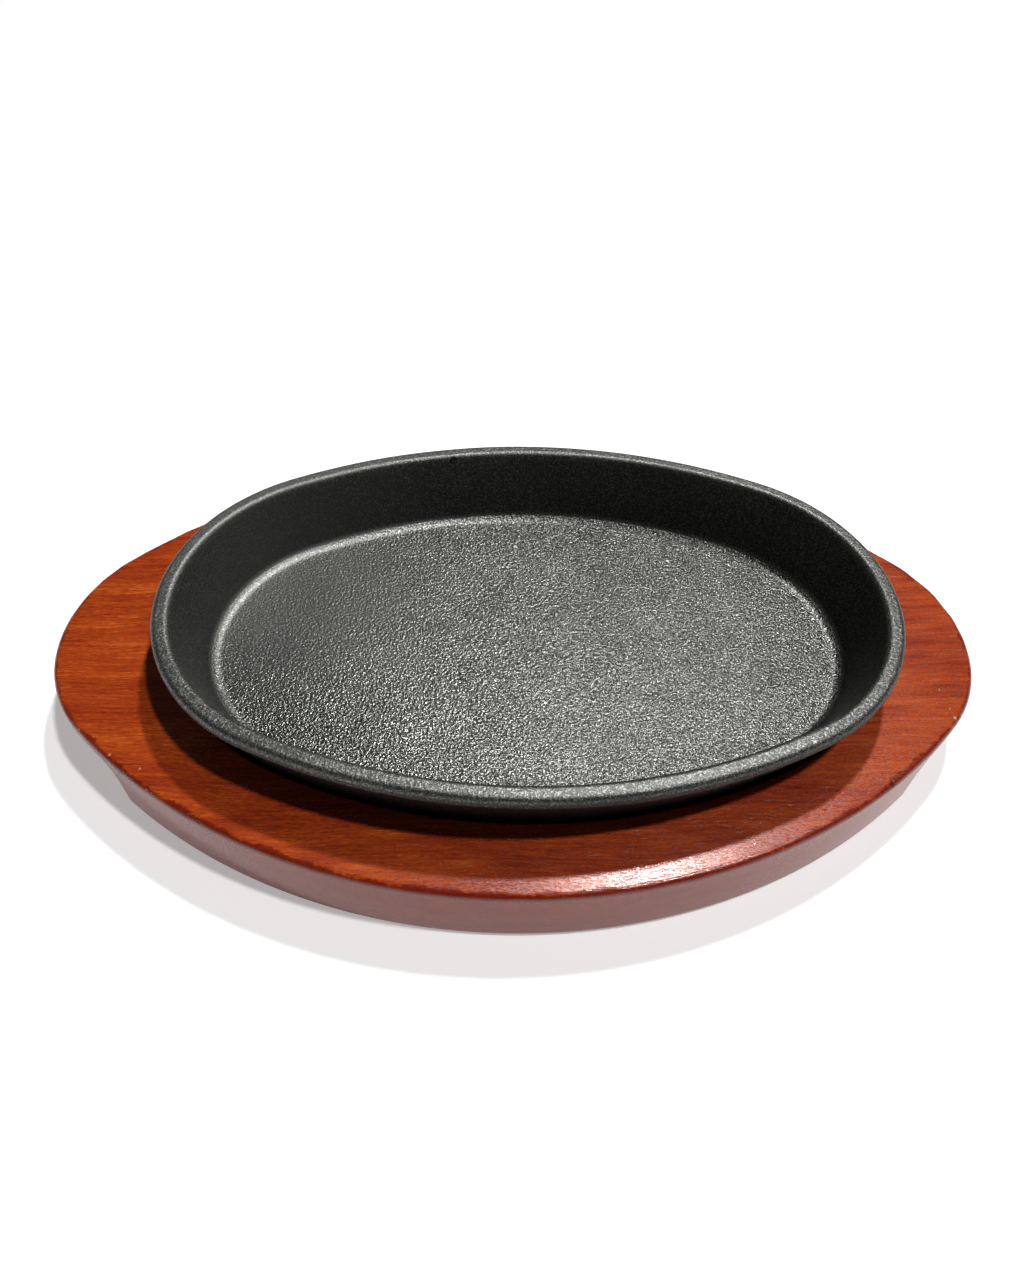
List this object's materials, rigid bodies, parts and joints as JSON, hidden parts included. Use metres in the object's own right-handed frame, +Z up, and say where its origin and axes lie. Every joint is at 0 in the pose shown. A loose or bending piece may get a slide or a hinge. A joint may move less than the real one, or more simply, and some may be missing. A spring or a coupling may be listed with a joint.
{
  "type": "oval cast iron serving plate on a wooden base",
  "caption": "Deep oval cast iron serving plate with a rounded lip, resting in the routed recess of a pointed-oval red-brown lacquered wooden base with finger grips under its ends.",
  "frame": {"origin": "middle of the board's flat underside", "axes": "+X along the length towards one finger grip, +Y across the width, +Z up out of the plate"},
  "size_m": [0.31, 0.194, 0.0475],
  "materials": {
    "cast_iron": "matte graphite black, sand-cast grain on the floor and lip, smoother walls",
    "stained_wood": "red-brown stain under gloss lacquer, fine grain along the length, chipped at the edge"
  },
  "bodies": {
    "root": {"iron_plate": "cast_iron", "wooden_base": "stained_wood"}
  },
  "joints": []
}
